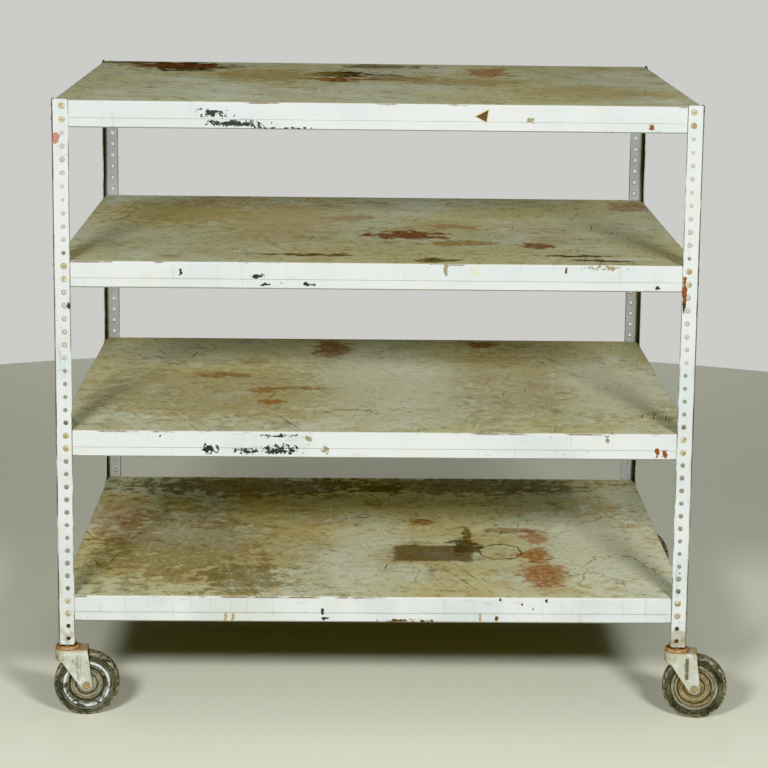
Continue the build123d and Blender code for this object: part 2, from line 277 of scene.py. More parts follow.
    def triangle(self, corners, inset, soft=0.5 * MM):
        """A three-cornered patch in X and Z, its corners given clockwise as seen from the front."""
        sides = []
        for (x0, z0), (x1, z1) in zip(corners, corners[1:] + corners[:1]):
            length = hypot(x1 - x0, z1 - z0)
            over_x = self.math("MULTIPLY", self.math("SUBTRACT", self.x, x0), (z1 - z0) / length)
            over_z = self.math("MULTIPLY", self.math("SUBTRACT", self.z, z0), (x1 - x0) / length)
            sides.append(self.rise(self.math("SUBTRACT", over_x, over_z), inset - soft, inset + soft))
        return self.both(*sides)

    def specks(self, spacing, size, share=0.5):
        """Small dots scattered at random, in that share of the cells."""
        made = self.node("ShaderNodeTexVoronoi", feature="F1")
        self.fill(made.inputs["Vector"], self.place)
        made.inputs["Scale"].default_value = 1 / spacing
        near = self.rise(made.outputs["Distance"], size / spacing, 0.4 * size / spacing)
        chance, _, _ = self.split(made.outputs["Color"])
        return self.both(near, self.rise(chance, 1 - share, 1.02 - share))

    def mix(self, amount, first, second):
        """One colour over another."""
        made = self.node("ShaderNodeMix", data_type="RGBA")
        self.fill(made.inputs[0], amount)
        self.fill(made.inputs[6], first)
        self.fill(made.inputs[7], second)
        return made.outputs[2]

    def blend(self, amount, first, second):
        """One number over another."""
        made = self.node("ShaderNodeMix", data_type="FLOAT")
        self.fill(made.inputs[0], amount)
        self.fill(made.inputs[2], first)
        self.fill(made.inputs[3], second)
        return made.outputs[0]

    def worn_edges(self, radius):
        """1 on sharp edges, where a rounded normal turns away from the real one."""
        bevel = self.node("ShaderNodeBevel", samples=6)
        bevel.inputs["Radius"].default_value = radius
        true_normal = self.node("ShaderNodeNewGeometry").outputs["Normal"]
        return self.rise(self.vector("DOT_PRODUCT", bevel.outputs["Normal"], true_normal), 0.985, 0.86)

    def crevices(self, distance):
        """1 in slots and corners."""
        made = self.node("ShaderNodeAmbientOcclusion", samples=8)
        made.inputs["Distance"].default_value = distance
        return self.rise(made.outputs["AO"], 0.75, 0.35)


class Coat:
    """The colour, roughness and height of a surface, covered layer by layer."""

    def __init__(self, graph, base, rough):
        self.graph = graph
        self.colour = base
        self.rough = rough
        self.height = 0.5

    def cover(self, mask, tint, rough=None, height=None):
        """Lay a colour over the mask, and a roughness and a height if they are given."""
        self.colour = self.graph.mix(mask, self.colour, tint)
        if rough is not None:
            self.rough = self.graph.blend(mask, self.rough, rough)
        if height is not None:
            self.height = self.graph.blend(mask, self.height, height)

    def finish(self, texture=None, depth=0.25 * MM, metal=0.0, gloss=0.4):
        """Wire the layers to the shader. texture adds fine height, and depth is how far the bump goes."""
        graph = self.graph
        height = self.height if texture is None else graph.math("ADD", self.height, texture)
        bump = graph.node("ShaderNodeBump")
        bump.inputs["Strength"].default_value = 1.0
        bump.inputs["Distance"].default_value = depth
        graph.fill(bump.inputs["Height"], height)
        graph.fill(graph.shader.inputs["Base Color"], self.colour)
        graph.fill(graph.shader.inputs["Roughness"], self.rough)
        graph.fill(graph.shader.inputs["Normal"], bump.outputs["Normal"])
        graph.shader.inputs["Metallic"].default_value = metal
        graph.shader.inputs["Specular IOR Level"].default_value = gloss
        return graph.material


def aged_paint(graph, chips=1.0, grime=1.0):
    """Old off-white paint: cloudy, a little dirty, speckled, and chipped down to a slate primer."""
    coat = Coat(graph, WHITE_PAINT, 0.42)
    coat.cover(graph.rise(graph.noise(0.22, 3), 0.40, 0.62), COOL_PAINT)
    yellowed = graph.rise(graph.noise(0.09, 5), 0.50, 0.72)
    coat.cover(graph.both(yellowed, 0.55 * grime), YELLOWED_PAINT, 0.5)
    runs = graph.noise(0.012, 4, stretch=(1, 1, 9))
    coat.cover(graph.both(graph.rise(runs, 0.56, 0.74), 0.40 * grime), GRIME, 0.6)
    smears = graph.noise(0.018, 6, 0.65, stretch=(4, 1, 1), seed=3.1)
    coat.cover(graph.both(graph.rise(smears, 0.60, 0.72), 0.45 * grime), GRIME, 0.6)
    where = graph.rise(graph.noise(0.16, 2, seed=7.7), 0.54, 0.66)
    flakes = graph.both(where, graph.rise(graph.noise(0.007, 6, 0.6, seed=1.9), 0.66, 0.68))
    coat.cover(graph.both(flakes, min(1.0, chips)), SLATE, 0.65, 0.2)
    coat.cover(graph.specks(0.034, 0.0013, 0.22 * chips), BROWN_STEEL, 0.8, 0.3)
    coat.cover(graph.specks(0.071, 0.0021, 0.14 * chips), SLATE, 0.7, 0.3)
    return coat


def paint_texture(graph):
    """Brush and orange-peel unevenness, with the slow waviness of thin sheet."""
    peel = graph.math("MULTIPLY", graph.noise(0.0022, 3), 0.12)
    wave = graph.math("MULTIPLY", graph.noise(0.12, 2), 1.6)
    return graph.math("ADD", peel, wave)


def from_middle(graph, axis):
    """Distance from the frame's middle plane across X, or across Y."""
    offset = graph.math("SUBTRACT", graph.x, MIDDLE_X) if axis == "x" else graph.y
    return graph.math("ABSOLUTE", offset)


def hole_distance(graph, across):
    """Distance from the nearest post hole's centre, given the distance from its row across the flange."""
    rows = graph.math("DIVIDE", graph.math("SUBTRACT", POST_TOP, graph.z), HOLE_PITCH)
    along = graph.math("MULTIPLY", graph.math("SUBTRACT", graph.math("FRACT", rows), 0.5), HOLE_PITCH)
    squares = graph.math("ADD", graph.math("POWER", along, 2.0), graph.math("POWER", across, 2.0))
    return graph.math("SQRT", squares)


# Marks on the front posts: side (-1 is left), distance in from the outer face, distance below the top,
# reach along X and Z, grain, raggedness, colour, strength, roughness, height
POST_MARKS = [
    (-1, 8 * MM, 74 * MM, 7.0 * MM, 10 * MM, 0.010, 0.5, RED_MARK, 0.85, 0.55, 0.55),
    (1, 26 * MM, 358 * MM, 4.5 * MM, 32 * MM, 0.012, 0.8, RUST, 1.0, 0.85, 0.40),
    (1, 27 * MM, 386 * MM, 2.4 * MM, 16 * MM, 0.010, 0.6, DARK_BROWN, 1.0, 0.85, 0.35),
    (-1, 28 * MM, 394 * MM, 3.5 * MM, 7 * MM, 0.008, 0.6, SLATE, 1.0, 0.70, 0.20),
]
MARK_DEPTH = 8 * MM  # the marks' reach along Y


def post_material():
    """Painted angle: worn dark edges, a rounded outer corner darkened by wear and painted shade, rusty
    hole rims, stained feet and a few marks of its own.
    """
    graph = Graph("post_paint")
    coat = aged_paint(graph, 0.9, 0.9)
    across_x = from_middle(graph, "x")
    across_y = from_middle(graph, "y")
    patchy = graph.noise(0.03, 5, 0.6, stretch=(1, 1, 3), seed=4.2)
    facing_y = graph.rise(graph.math("ABSOLUTE", graph.normal_y), 0.6, 0.8)
    facing_x = graph.rise(graph.math("ABSOLUTE", graph.normal_x), 0.6, 0.8)

    for across, facing, half in ((across_x, facing_y, HALF_WIDTH), (across_y, facing_x, HALF_DEPTH)):
        offset = graph.math("SUBTRACT", across, half - HOLE_INSET)
        distance = hole_distance(graph, offset)
        rim = graph.both(facing, graph.rise(distance, HOLE_RADIUS + 2.0 * MM, HOLE_RADIUS + 0.4 * MM))
        coat.cover(graph.both(rim, graph.rise(patchy, 0.42, 0.6), 0.75), BROWN_STEEL, 0.8, 0.4)
        wall = graph.rise(distance, HOLE_RADIUS + 0.12 * MM, HOLE_RADIUS + 0.04 * MM)
        coat.cover(graph.both(wall, graph.without(facing)), DARK_BROWN, 0.9)
        free_edge = graph.rise(across, half - FLANGE + 2.4 * MM, half - FLANGE + 0.8 * MM)
        coat.cover(graph.both(free_edge, graph.rise(patchy, 0.40, 0.52), 0.85), BARE_EDGE, 0.6, 0.4)

    # The rounded outer corner: worn through in patches, and darkened partly as painted shade on the bend.
    corner = graph.both(
        graph.rise(across_x, HALF_WIDTH - 3.8 * MM, HALF_WIDTH - 1.6 * MM),
        graph.rise(across_y, HALF_DEPTH - 3.8 * MM, HALF_DEPTH - 1.6 * MM),
    )
    coat.cover(graph.both(corner, graph.rise(patchy, 0.34, 0.46), 0.9), BARE_EDGE, 0.55, 0.4)
    coat.cover(graph.both(corner, graph.rise(patchy, 0.54, 0.58)), BROWN_STEEL, 0.75, 0.3)

    # The side flanges' inward faces: dark brown all over, darker in streaks.
    towards_middle = graph.math("SIGN", graph.math("SUBTRACT", MIDDLE_X, graph.x))
    inward_x = graph.math("MULTIPLY", towards_middle, graph.normal_x)
    off_outer_face = graph.rise(across_x, HALF_WIDTH, HALF_WIDTH - 1 * MM)
    inside = graph.both(graph.rise(inward_x, 0.6, 0.8), off_outer_face)
    coat.cover(graph.both(inside, 0.95), INNER_STEEL, 0.75)
    runs = graph.rise(graph.noise(0.05, 5, stretch=(1, 1, 4)), 0.44, 0.6)
    coat.cover(graph.both(inside, runs), DARK_BROWN, 0.8)

    foot = graph.rise(graph.z, POST_BOTTOM + 58 * MM, POST_BOTTOM + 4 * MM)
    stained = graph.rise(graph.noise(0.02, 6, 0.65, seed=8.8), 0.44, 0.62)
    coat.cover(graph.both(foot, stained, 0.8), GRIME, 0.75)
    outer_front = (MIDDLE_X + HALF_WIDTH - 16 * MM, -HALF_DEPTH, POST_BOTTOM + 12 * MM)
    right_foot = graph.spot(outer_front, (20 * MM, 20 * MM, 22 * MM), 0.012, 0.8)
    coat.cover(graph.both(right_foot, 0.55), GRIME, 0.8)

    for side, inset, drop, reach_x, reach_z, grain, ragged, tint, strength, rough, height in POST_MARKS:
        centre = (MIDDLE_X + side * (HALF_WIDTH - inset), -HALF_DEPTH, POST_TOP - drop)
        mark = graph.spot(centre, (reach_x, MARK_DEPTH, reach_z), grain, ragged)
        coat.cover(graph.both(mark, strength), tint, rough, height)
    return coat.finish(paint_texture(graph))


def assign(material, *nodes):
    """Give CAD nodes a material, in the slots that they have."""
    for name in nodes:
        mesh = frame["nodes"][name].data
        if not mesh.materials:
            mesh.materials.append(material)
        for index in range(len(mesh.materials)):
            mesh.materials[index] = material


# How dirty each shelf top is, 0 to 1
SHELF_DIRT = {"top_shelf": 0.10, "second_shelf": 0.12, "third_shelf": 0.12, "bottom_shelf": 0.75}

# Stains on each shelf top: x and y from the frame's middle, reach along X and Y, colour, strength
TOP_STAINS = {
    "top_shelf": [
        (-0.52, 0.42, 0.10, 0.035, STAIN_BLACK, 0.8),
        (-0.42, 0.32, 0.08, 0.120, STAIN_BLACK, 1.0),
        (-0.46, 0.34, 0.10, 0.060, STAIN_RED, 0.7),
        (-0.33, 0.33, 0.05, 0.040, STAIN_RED, 0.4),
        (-0.08, 0.17, 0.06, 0.080, STAIN_BLACK, 1.0),
        (0.00, 0.16, 0.06, 0.022, STAIN_BLACK, 0.7),
        (-0.08, 0.05, 0.06, 0.055, STAIN_RED, 0.9),
        (0.04, 0.09, 0.09, 0.060, STAIN_RED, 0.5),
        (0.01, 0.38, 0.10, 0.045, STAIN_BROWN, 0.7),
        (-0.22, 0.13, 0.13, 0.140, STAIN_TAN, 0.7),
        (0.24, 0.25, 0.05, 0.110, STAIN_ORANGE, 0.7),
        (0.18, 0.02, 0.12, 0.080, STAIN_TAN, 0.6),
        (0.42, -0.20, 0.16, 0.160, STAIN_TAN, 0.35),
    ],
    "second_shelf": [
        (0.06, -0.10, 0.075, 0.048, STAIN_RED, 0.90),
        (0.32, -0.23, 0.034, 0.036, STAIN_RED, 0.80),
        (-0.06, 0.13, 0.06, 0.040, STAIN_ORANGE, 0.50),
        (0.16, 0.02, 0.05, 0.035, STAIN_ORANGE, 0.50),
        (0.17, -0.20, 0.07, 0.035, STAIN_TAN, 0.90),
        (0.11, -0.41, 0.04, 0.022, STAIN_BROWN, 0.90),
        (-0.13, -0.36, 0.09, 0.014, STAIN_BROWN, 0.90),
        (-0.42, 0.20, 0.14, 0.160, STAIN_TAN, 0.60),
        (-0.20, 0.10, 0.12, 0.300, SHELF_TAN, 0.60),
        (0.39, -0.35, 0.06, 0.012, STAIN_BROWN, 0.95),
        (0.44, -0.40, 0.06, 0.014, STAIN_BROWN, 0.95),
        (0.48, -0.38, 0.04, 0.020, SHELF_PALE, 0.90),
        (0.57, 0.34, 0.05, 0.080, STAIN_ORANGE, 0.60),
    ],
    "third_shelf": [
        (-0.09, 0.34, 0.04, 0.090, STAIN_RED, 0.70),
        (-0.32, 0.05, 0.06, 0.022, STAIN_RED, 0.75),
        (-0.235, -0.09, 0.025, 0.024, STAIN_ORANGE, 0.90),
        (-0.21, -0.20, 0.025, 0.024, STAIN_ORANGE, 0.95),
        (-0.15, -0.07, 0.08, 0.016, STAIN_RED, 0.60),
        (-0.27, -0.12, 0.016, 0.016, SHELF_PALE, 0.95),
        (-0.44, -0.34, 0.05, 0.016, SHELF_PALE, 0.90),
        (-0.30, -0.10, 0.26, 0.260, STAIN_TAN, 0.45),
        (0.25, 0.40, 0.030, 0.040, STAIN_RED, 0.80),
        (0.28, 0.00, 0.14, 0.340, STAIN_TAN, 0.45),
        (0.04, 0.02, 0.14, 0.280, SHELF_PALE, 0.55),
        (0.50, -0.05, 0.10, 0.260, SHELF_PALE, 0.60),
    ],
    "bottom_shelf": [
        (-0.32, -0.05, 0.24, 0.340, STAIN_TAN, 0.40),
        (-0.40, -0.10, 0.16, 0.260, STAIN_BROWN, 0.35),
        (-0.04, -0.20, 0.05, 0.200, SHELF_PALE, 0.50),
        (0.48, -0.15, 0.14, 0.280, SHELF_PALE, 0.80),
        (-0.26, -0.34, 0.080, 0.110, SHELF_DARK, 0.60),
        (0.195, -0.10, 0.030, 0.055, STAIN_BLACK, 0.80),
        (0.20, -0.03, 0.010, 0.070, STAIN_BROWN, 0.80),
        (0.345, -0.03, 0.030, 0.045, STAIN_ORANGE, 0.70),
        (0.335, -0.165, 0.036, 0.052, STAIN_ORANGE, 0.85),
        (0.345, -0.300, 0.042, 0.080, STAIN_ORANGE, 0.80),
        (0.29, 0.02, 0.060, 0.018, STAIN_RED, 0.60),
        (0.105, 0.08, 0.028, 0.024, STAIN_RED, 0.70),
        (0.03, 0.36, 0.040, 0.045, STAIN_BLACK, 0.60),
        # The next two darken the back of the bottom shelf: partly grime, partly painted shade.
        (-0.28, 0.37, 0.260, 0.080, STAIN_BROWN, 0.65),
        (0.18, 0.39, 0.300, 0.070, STAIN_BROWN, 0.65),
        (-0.55, 0.10, 0.060, 0.200, STAIN_ORANGE, 0.35),
    ],
}

# The square dark patch on the bottom shelf: its middle from the frame's middle, and half its sides
PATCH_MIDDLE = (0.125, -0.155)
PATCH_HALF = (0.082, 0.056)

# Thin lines left on the tops: x and y from the frame's middle, radii along X and Y, how far the line
# goes round (0 is only its rear, 1 is all of it), colour, strength
TOP_RINGS = {
    "top_shelf": [
        (-0.43, -0.40, 0.050, 0.050, 0.4, STAIN_BROWN, 0.7),
    ],
    "second_shelf": [
        (-0.20, -0.32, 0.300, 0.260, 0.3, SHELF_DARK, 0.6),
        (-0.10, -0.40, 0.220, 0.200, 0.3, STAIN_BROWN, 0.5),
    ],
    "third_shelf": [
        (-0.05, -0.33, 0.060, 0.070, 0.3, STAIN_RED, 0.7),
        (-0.43, -0.37, 0.060, 0.080, 0.4, SHELF_PALE, 0.9),
    ],
    "bottom_shelf": [
        (0.265, -0.143, 0.042, 0.055, 1.0, STAIN_BROWN, 1.0),
        (0.50, -0.36, 0.080, 0.200, 0.5, SHELF_DARK, 0.6),
        (0.42, -0.44, 0.090, 0.150, 0.3, SHELF_DARK, 0.6),
    ],
}

# Chipped stretches of each front lip: x from the frame's middle, height above the lip's foot, reach along
# X and Z, colour
LIP_MARKS = {
    "top_shelf": [
        (-0.308, 0.029, 0.024, 0.008, SLATE),
        (-0.270, 0.011, 0.050, 0.006, SLATE),
        (-0.185, 0.003, 0.045, 0.002, SLATE),
        (0.288, 0.023, 0.008, 0.005, GRIME),
        (0.515, 0.010, 0.005, 0.006, RUST),
    ],
    "second_shelf": [
        (-0.373, 0.029, 0.003, 0.006, SLATE),
        (-0.227, 0.024, 0.010, 0.004, SLATE),
        (-0.211, 0.008, 0.008, 0.003, SLATE),
        (-0.133, 0.009, 0.010, 0.004, SLATE),
        (0.131, 0.040, 0.004, 0.012, GRIME),
        (0.184, 0.038, 0.007, 0.010, YELLOWED_PAINT),
        (0.360, 0.039, 0.002, 0.006, BROWN_STEEL),
        (0.432, 0.045, 0.030, 0.004, GRIME),
        (0.536, 0.008, 0.004, 0.003, SLATE),
    ],
    "third_shelf": [
        (-0.192, 0.043, 0.030, 0.003, SLATE),
        (-0.184, 0.016, 0.034, 0.008, SLATE),
        (-0.248, 0.012, 0.022, 0.005, SLATE),
        (-0.130, 0.036, 0.006, 0.006, GRIME),
        (-0.321, 0.016, 0.013, 0.008, SLATE),
        (-0.097, 0.014, 0.006, 0.007, GRIME),
        (-0.415, 0.040, 0.002, 0.003, BROWN_STEEL),
        (0.448, 0.040, 0.004, 0.009, GRIME),
        (0.545, 0.014, 0.004, 0.009, RUST),
        (0.560, 0.012, 0.005, 0.008, RUST),
    ],
    "bottom_shelf": [
        (-0.289, 0.010, 0.003, 0.007, TAN),
        (-0.275, 0.010, 0.003, 0.007, TAN),
        (0.208, 0.011, 0.002, 0.008, TAN),
        (0.240, 0.009, 0.003, 0.006, BROWN_STEEL),
        (-0.101, 0.020, 0.003, 0.006, SLATE),
        (-0.098, 0.008, 0.008, 0.003, SLATE),
        (0.071, 0.004, 0.040, 0.003, BROWN_STEEL),
        (0.247, 0.046, 0.003, 0.003, BROWN_STEEL),
        (0.290, 0.036, 0.002, 0.003, BROWN_STEEL),
        (0.338, 0.044, 0.003, 0.003, BROWN_STEEL),
        (0.312, 0.028, 0.002, 0.003, BROWN_STEEL),
    ],
}

# The three-cornered chip on the top lip: x from the frame's middle, height above the lip's foot
CHIP_CORNERS = ((0.181, 0.028), (0.207, 0.042), (0.203, 0.017))

# Scratches on the tops: their direction in degrees, and how many times longer than wide they are
SCRATCHES = ((7, 70), (68, 44), (-35, 56), (100, 36))

# How far marks reach above and below a top, and in from a lip's face
TOP_REACH = 0.05
LIP_REACH = 0.03

# A stain that reaches less than this has a finer grain, and a lip mark that does isn't broken up
SMALL_STAIN = 0.03
SMALL_MARK = 0.02


def stained_top(graph, coat, is_top, shelf, seed):
    """A shelf's upper face: worn grey-green paint with tan dirt, scratches, rust, stains and rings."""
    dirty = SHELF_DIRT[shelf]
    coat.cover(is_top, SHELF_GREEN, 0.62, 0.5)
    rubbed = graph.rise(graph.noise(0.24, 6, 0.62, seed=seed + 6), 0.44, 0.62)
    coat.cover(graph.both(is_top, rubbed, 0.80 - 0.30 * dirty), SHELF_PALE)
    dirt = graph.rise(graph.noise(0.36, 7, 0.64, seed=seed), 0.42, 0.60)
    coat.cover(graph.both(is_top, dirt, 0.60 + 0.30 * dirty), SHELF_KHAKI, 0.70)
    stains = graph.rise(graph.noise(0.15, 7, 0.68, twist=0.5, seed=seed + 2), 0.46, 0.64)
    coat.cover(graph.both(is_top, stains, 0.35 + 0.45 * dirty), SHELF_TAN)
    marbled = graph.rise(graph.noise(0.06, 8, 0.74, twist=0.5, seed=seed + 4), 0.53, 0.68)
    coat.cover(graph.both(is_top, marbled, 0.45 + 0.30 * dirty), SHELF_DARK, 0.78, 0.44)
    cloudy = graph.rise(graph.noise(0.020, 7, 0.78, seed=seed + 11), 0.53, 0.65)
    coat.cover(graph.both(is_top, cloudy, 0.42 + 0.15 * dirty), STAIN_BROWN, 0.80)
    for turn, length in SCRATCHES:
        lines = graph.noise(0.0040, 1, stretch=(length, 1, 1), twist=0.3, turn=turn, seed=seed + turn)
        faint = graph.rise(graph.noise(0.15, 2, seed=seed - turn), 0.48, 0.60)
        drawn = graph.both(is_top, graph.rise(lines, 0.68, 0.74), faint, 0.8)
        coat.cover(drawn, STAIN_BROWN, height=0.3)
    grain = graph.rise(graph.noise(0.0045, 5, 0.76, seed=seed + 8), 0.56, 0.66)
    coat.cover(graph.both(is_top, grain, 0.50), SHELF_DARK, height=0.42)
    coat.cover(graph.both(is_top, graph.specks(0.030, 0.0022, 0.30), 0.8), STAIN_BLACK)
    coat.cover(graph.both(is_top, graph.specks(0.100, 0.0065, 0.22), 0.6), STAIN_ORANGE)
    mottled = graph.rise(graph.noise(0.012, 7, 0.76, seed=seed + 9), 0.30, 0.52)
    for x, y, reach_x, reach_y, tint, strength in TOP_STAINS[shelf]:
        centre = (MIDDLE_X + x, y, SHELF_TOP[shelf])
        grain_size = 0.012 if max(reach_x, reach_y) < SMALL_STAIN else 0.03
        patch = graph.spot(centre, (reach_x, reach_y, TOP_REACH), grain_size, 0.9, 0.25)
        coat.cover(graph.both(is_top, patch, mottled, strength), tint)
    if shelf == "bottom_shelf":
        square = graph.block((MIDDLE_X + PATCH_MIDDLE[0], PATCH_MIDDLE[1]), PATCH_HALF)
        coat.cover(graph.both(is_top, square, 0.75), STAIN_BROWN)
        coat.cover(graph.both(is_top, square, grain, 0.6), STAIN_BLACK)
        coat.cover(graph.both(is_top, square, graph.specks(0.012, 0.0022, 0.35), 0.6), SHELF_TAN)
    for x, y, radius_x, radius_y, share, tint, strength in TOP_RINGS[shelf]:
        centre = (MIDDLE_X + x, y, SHELF_TOP[shelf])
        line = graph.ring(centre, (radius_x, radius_y, TOP_REACH), width=2.4 * MM / radius_x)
        front_end = y + radius_y * (1 - 2.2 * share)
        drawn = graph.rise(graph.y, front_end - 8 * MM, front_end + 8 * MM)
        coat.cover(graph.both(is_top, line, drawn, strength), tint)


def shelf_material(shelf, number):
    """One shelf's pan and bands: stained top, painted lips with a painted highlight and brown nicks along
    the bends, and a dark underside.
    """
    graph = Graph(f"{shelf}_paint")
    coat = aged_paint(graph, 1.0, 0.6)
    top = SHELF_TOP[shelf]
    foot = LIP_FOOT[shelf]
    patchy = graph.noise(0.04, 6, 0.65, stretch=(3, 3, 1), seed=number * 3.3)
    outline = graph.noise(0.009, 6, 0.7, stretch=(2, 2, 1), seed=number * 1.7)
    outside = graph.either(
        graph.rise(from_middle(graph, "x"), HALF_WIDTH - LIP_DEPTH, HALF_WIDTH - LIP_DEPTH + 0.6 * MM),
        graph.rise(from_middle(graph, "y"), HALF_DEPTH - LIP_DEPTH, HALF_DEPTH - LIP_DEPTH + 0.6 * MM),
    )
    upper_face = graph.rise(graph.z, top - 1.2 * MM, top - 0.8 * MM)
    coat.cover(graph.without(graph.either(outside, upper_face)), INNER_STEEL, 0.7)

    # Along each lip's top bend the paint is kept clean white as a painted highlight, then nicked brown.
    bend = graph.both(outside, graph.rise(graph.z, top - 4.6 * MM, top - 2.6 * MM))
    coat.cover(graph.both(bend, 0.8), WHITE_PAINT, 0.5)
    coat.cover(graph.both(bend, graph.rise(patchy, 0.54, 0.62), 0.8), STAIN_BROWN, 0.6, 0.4)
    lower_edge = graph.rise(graph.z, foot + 2.8 * MM, foot + 1.2 * MM)
    coat.cover(graph.both(outside, lower_edge, 0.85), BARE_EDGE, 0.6, 0.4)
    # Just above each band's upper edge: a dark line, partly grime and partly painted shade at the step.
    band_top = foot + BAND_HEIGHT
    band_edge_grime_and_shade = graph.within(graph.z, band_top + 0.1 * MM, band_top + 1.0 * MM, 0.5 * MM)
    coat.cover(graph.both(outside, band_edge_grime_and_shade, 0.75), GRIME, 0.7, 0.2)
    scuffs = graph.rise(graph.noise(0.006, 7, 0.75, stretch=(5, 5, 1), seed=number * 2.9), 0.60, 0.66)
    coat.cover(graph.both(outside, scuffs, 0.35), GRIME, 0.65, 0.35)

    front = graph.rise(graph.y, -HALF_DEPTH + 6 * MM, -HALF_DEPTH + 5 * MM)
    for x, height, reach_x, reach_z, tint in LIP_MARKS[shelf]:
        centre = (MIDDLE_X + x, -HALF_DEPTH, foot + height)
        area = graph.spot(centre, (reach_x, LIP_REACH, reach_z), 0.008, 1.3, 0.05)
        torn = area if reach_x < SMALL_MARK else graph.both(area, graph.rise(outline, 0.44, 0.46))
        coat.cover(graph.both(front, torn), tint)
    if shelf == "top_shelf":
        corners = [(MIDDLE_X + x, foot + height) for x, height in CHIP_CORNERS]
        coat.cover(graph.both(front, graph.triangle(corners, -1.4 * MM)), CREAM)
        coat.cover(graph.both(front, graph.triangle(corners, 0.6 * MM)), BROWN_STEEL)

    faces_up = graph.rise(graph.normal_z, 0.80, 0.90)
    is_top = graph.both(faces_up, graph.rise(graph.z, top - 1.0 * MM, top - 0.5 * MM))
    stained_top(graph, coat, is_top, shelf, number * 5.3 + 1)
    return coat.finish(paint_texture(graph), gloss=0.22)


def channel_material():
    """The stiffeners under the shelves: grimy paint with patches of rust."""
    graph = Graph("channel_paint")
    coat = aged_paint(graph, 1.4, 1.6)
    coat.cover(graph.both(graph.rise(graph.noise(0.08, 6), 0.44, 0.62), 0.7), SHELF_DARK, 0.8)
    coat.cover(graph.rise(graph.noise(0.03, 6, 0.7, seed=2.2), 0.62, 0.68), RUST, 0.9, 0.35)
    return coat.finish(paint_texture(graph))


def fastener_material(name, base, dirt):
    """Bolts and nuts: painted over long ago, brown in the slots and worn on the edges."""
    graph = Graph(name)
    coat = Coat(graph, base, 0.5)
    coat.cover(graph.rise(graph.noise(0.012, 5), 0.42, 0.62), TAN, 0.6)
    rusty = graph.rise(graph.noise(0.005, 5, 0.65, seed=5.5), 0.56, 0.64)
    coat.cover(graph.both(rusty, dirt), RUST, 0.85, 0.35)
    coat.cover(graph.worn_edges(0.5 * MM), STEEL, 0.4, 0.45)
    coat.cover(graph.crevices(1.6 * MM), BROWN_STEEL, 0.9, 0.3)
    return coat.finish(graph.math("MULTIPLY", graph.noise(0.0012, 4), 0.3), 0.2 * MM)


def fork_material(corner, nose_rust, rib_wear):
    """A painted pressed fork, stained at its nose, with a worn rib on each leg and painted shade in its
    hollows.
    """
    graph = Graph(f"{corner}_fork_paint")
    coat = aged_paint(graph, 1.3, 1.3)
    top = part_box(f"{corner}_fork")[1].z
    pivot = SWIVEL_POINTS[corner]
    coat.cover(graph.rise(graph.noise(0.03, 5, 0.6, seed=6.1), 0.28, 0.50), FORK_PAINT, 0.6)
    grimy = graph.rise(graph.noise(0.014, 6, 0.7, seed=9.4), 0.54, 0.66)
    coat.cover(graph.both(grimy, 0.7), GRIME, 0.75, 0.4)
    coat.cover(graph.specks(0.012, 0.0011, 0.5), BROWN_STEEL, 0.8, 0.3)
    worn = graph.rise(graph.noise(0.010, 4), 0.38, 0.50)
    coat.cover(graph.both(graph.worn_edges(1.4 * MM), worn), BROWN_STEEL, 0.6, 0.4)
    coat.cover(graph.both(graph.rise(graph.z, top - 7 * MM, top - 1 * MM), worn, 0.7), PEACH, 0.8)

    # The rib stands on the leg, part of the way from the swivel to the axle
    way = (AXLE_POINTS[corner] - pivot).xy.normalized()
    along = graph.vector("DOT_PRODUCT", graph.vector("SUBTRACT", graph.place, pivot), (way.x, way.y, 0))
    height = graph.within(graph.z, RIB_LOW, RIB_HIGH, 2 * MM)
    rib = graph.both(graph.within(along, RIB_ALONG - RIB_HALF, RIB_ALONG + RIB_HALF, 0.8 * MM), height)
    coat.cover(graph.both(rib, 0.8 * rib_wear), WHITE_PAINT, 0.5)
    ragged = graph.rise(graph.noise(0.010, 6, 0.7, seed=1.3), 0.34, 0.40)
    bare = graph.within(along, RIB_ALONG - 1.2 * RIB_HALF, RIB_ALONG + 0.7 * RIB_HALF, 0.6 * MM)
    coat.cover(graph.both(bare, height, ragged, rib_wear), BARE_EDGE, 0.6, 0.3)

    nose_point = (pivot.x - 20 * MM, pivot.y, top - 18 * MM)
    nose = graph.spot(nose_point, (13 * MM, 22 * MM, 13 * MM), 0.01, 1.2)
    coat.cover(graph.both(nose, nose_rust), TAN, 0.85, 0.4)
    # Painted shade: dark brown wherever other parts come within 14 mm, under the race and beside the
    # wheel.
    coat.cover(graph.both(graph.crevices(14 * MM), 0.7), DARK_BROWN, 0.85)
    return coat.finish(graph.math("MULTIPLY", graph.noise(0.002, 4), 0.35), 0.3 * MM)


def rusty_material(name, base, darker, size=0.008):
    """Bare steel, rusty all over."""
    graph = Graph(name)
    coat = Coat(graph, base, 0.75)
    coat.cover(graph.rise(graph.noise(size, 6, 0.65), 0.42, 0.60), darker, 0.85, 0.35)
    coat.cover(graph.both(graph.worn_edges(0.6 * MM), 0.6), TAN, 0.55)
    coat.cover(graph.crevices(3 * MM), DARK_BROWN, 0.9)
    return coat.finish(graph.math("MULTIPLY", graph.noise(0.0015, 5), 0.5), 0.3 * MM)


def polished_material():
    """The bearing balls: polished steel with a few dark patches."""
    graph = Graph("bearing_steel")
    coat = Coat(graph, STEEL, 0.25)
    coat.cover(graph.rise(graph.noise(0.004, 5), 0.52, 0.66), HUB_DARK, 0.5)
    return coat.finish(graph.math("MULTIPLY", graph.noise(0.001, 3), 0.1), 0.05 * MM, metal=1.0, gloss=0.5)


def wheel_radius_at(graph, joint):
    """Distance from the line of a wheel's axle."""
    offset = graph.vector("SUBTRACT", graph.place, joint["pos_m"])
    return graph.vector("LENGTH", graph.vector("CROSS_PRODUCT", offset, joint["axis"]))


